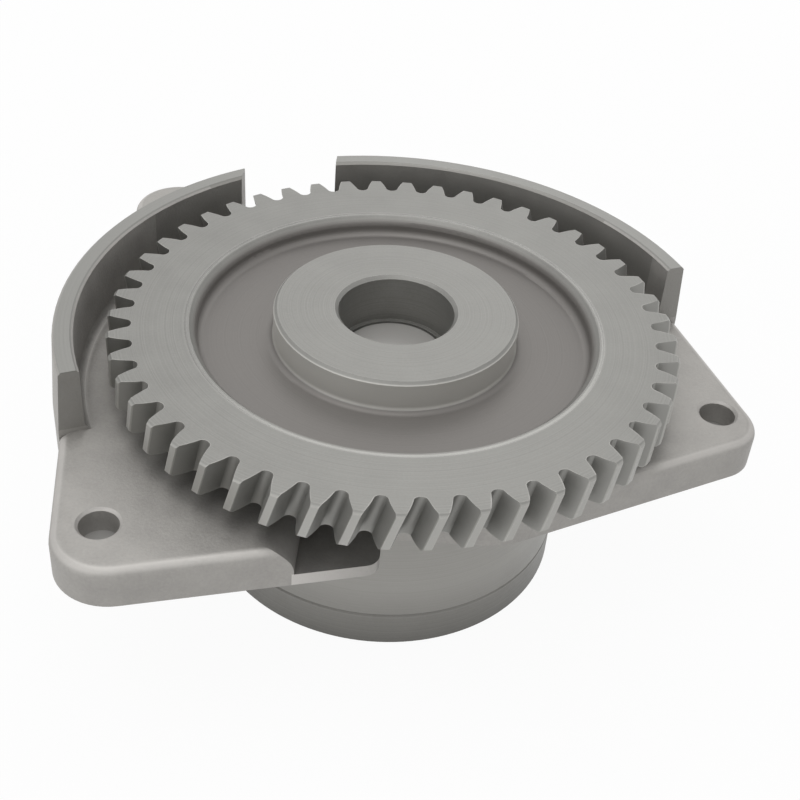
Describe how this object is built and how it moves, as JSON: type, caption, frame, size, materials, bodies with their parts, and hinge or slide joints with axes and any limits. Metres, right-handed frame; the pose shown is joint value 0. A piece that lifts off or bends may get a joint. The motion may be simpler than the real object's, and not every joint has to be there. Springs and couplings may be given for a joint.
{
  "type": "engine oil pump",
  "caption": "Engine oil pump: large helical drive gear in an open guard wall on an eared flange, above a round gerotor pump housing with end cover and relief valve.",
  "frame": {"origin": "pump axis at the flange's mounting face", "axes": "+Z along the pump axis from the mounting face towards the drive gear, +X towards the right-hand ear, -Y towards the side the picture is taken from"},
  "size_m": [0.1655, 0.1543, 0.0666],
  "materials": {
    "cast_housing": "fine cast, satin",
    "gear_steel": "machined, satin",
    "shaft_steel": "ground",
    "rotor_steel": "sintered, oiled",
    "bush_bronze": "bronze bearing metal, smooth",
    "cover_metal": "machined, satin",
    "screw_steel": "blackened",
    "pin_steel": "ground",
    "seal_rubber": "smooth",
    "spring_steel": "drawn wire"
  },
  "bodies": {
    "housing": {"pump_housing": "cast_housing", "end_cover": "cover_metal", "upper_bush": "bush_bronze", "lower_bush": "bush_bronze", "thrust_washer": "bush_bronze", "cover_screws": "screw_steel", "cover_dowels": "pin_steel", "ring_dowels": "pin_steel", "inlet_seal": "seal_rubber", "outlet_seal": "seal_rubber", "relief_spring": "spring_steel", "relief_shim": "pin_steel", "relief_plug": "screw_steel", "gallery_plug": "pin_steel"},
    "drive": {"drive_gear": "gear_steel", "drive_shaft": "shaft_steel", "rotor_key": "pin_steel", "rotor_retaining_ring": "spring_steel", "inner_rotor": "rotor_steel"},
    "driven_rotor": {"outer_rotor": "rotor_steel"},
    "piston": {"relief_piston": "pin_steel"}
  },
  "joints": [
    {"name": "gear_spin", "type": "hinge", "parent": "housing", "child": "drive", "pos_m": [0, 0, 0], "axis": [0, 0, 1], "continuous": true},
    {"name": "outer_rotor_spin", "type": "hinge", "parent": "housing", "child": "driven_rotor", "pos_m": [0, -0.0028, 0], "axis": [0, 0, 1], "continuous": true},
    {"name": "relief_slide", "type": "slide", "parent": "housing", "child": "piston", "axis": [0, 0, -1], "range_m": [0, 0.009], "stiffness_N_per_m": 1500, "springref_m": -0.008, "deforming": ["relief_spring"]}
  ],
  "couplings": [
    {"joint": "outer_rotor_spin", "follows": "gear_spin", "ratio": 0.85714}
  ]
}
